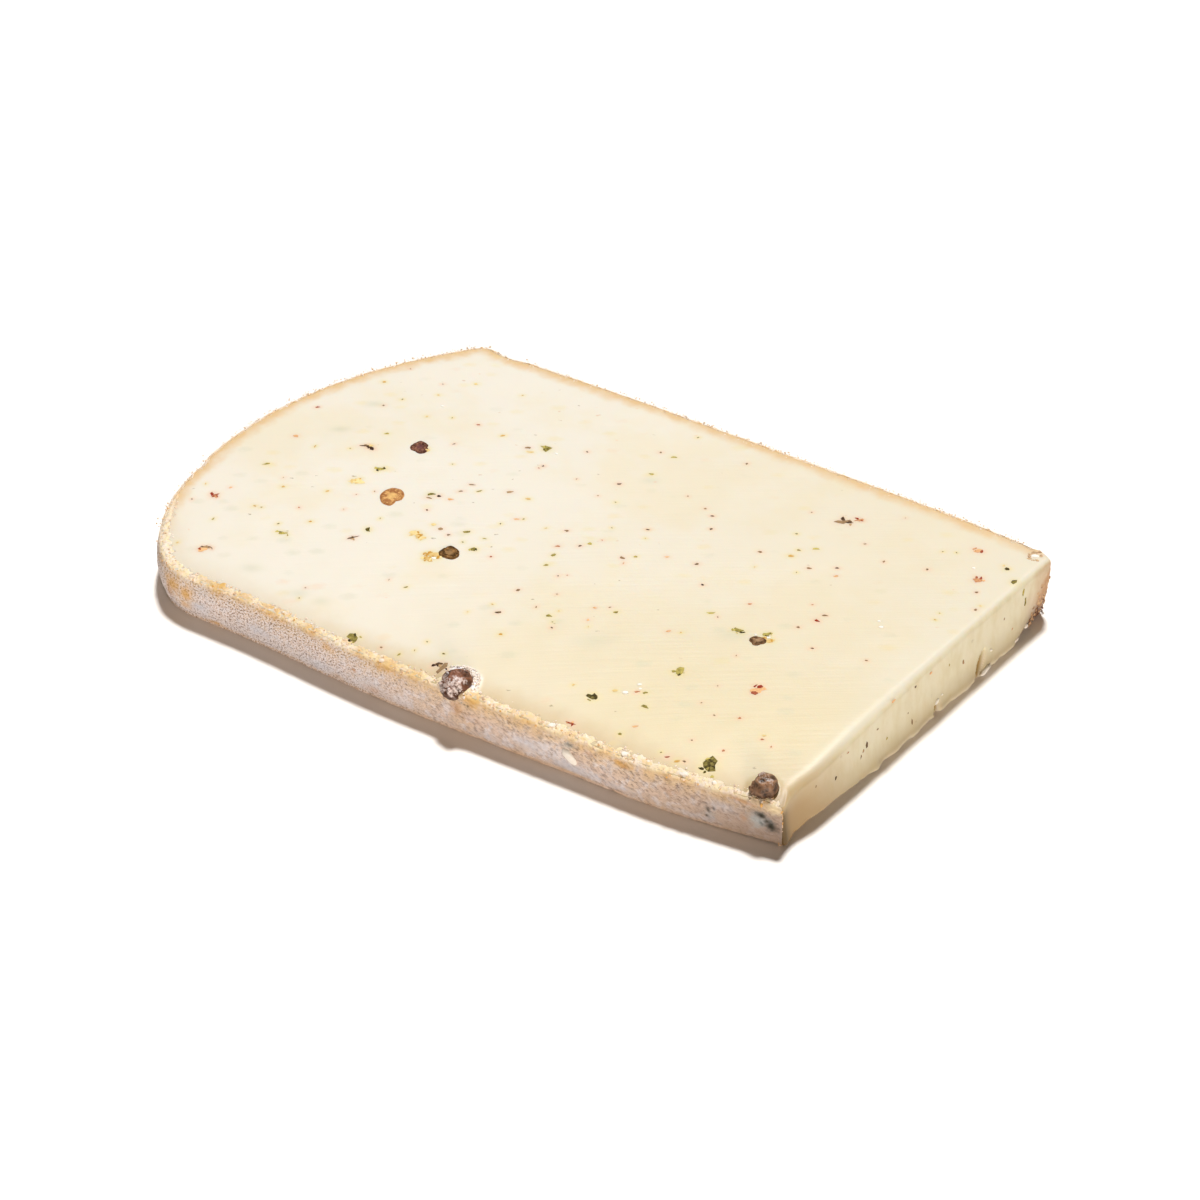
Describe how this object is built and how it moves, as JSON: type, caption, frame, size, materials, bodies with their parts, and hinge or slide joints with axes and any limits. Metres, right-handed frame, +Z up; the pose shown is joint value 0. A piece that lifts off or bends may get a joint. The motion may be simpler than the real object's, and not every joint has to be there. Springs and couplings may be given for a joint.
{
  "type": "cheese slice",
  "caption": "Thick slice of semi-hard cheese with herbs and peppercorns, rinded round its long sides and rounded end, with a straight cut end; it lies flat for serving.",
  "frame": {"origin": "on the table, under the middle of the slice's bounding box", "axes": "+X from the rounded rim to the straight cut end, +Y from the thin front rind to the thick back rind, +Z up"},
  "size_m": [0.1553, 0.0958, 0.0128],
  "materials": {
    "cheese": "smooth moist cut paste, with a dry cloth-marked rind",
    "peppercorn": "dry and wrinkled"
  },
  "bodies": {
    "root": {"cheese_slice": "cheese", "peppercorn_corner": "peppercorn", "peppercorn_rind": "peppercorn", "peppercorn_cut_brown": "peppercorn", "peppercorn_cut_orange": "peppercorn", "peppercorn_cut_olive": "peppercorn", "peppercorn_cut_front": "peppercorn"}
  },
  "joints": []
}
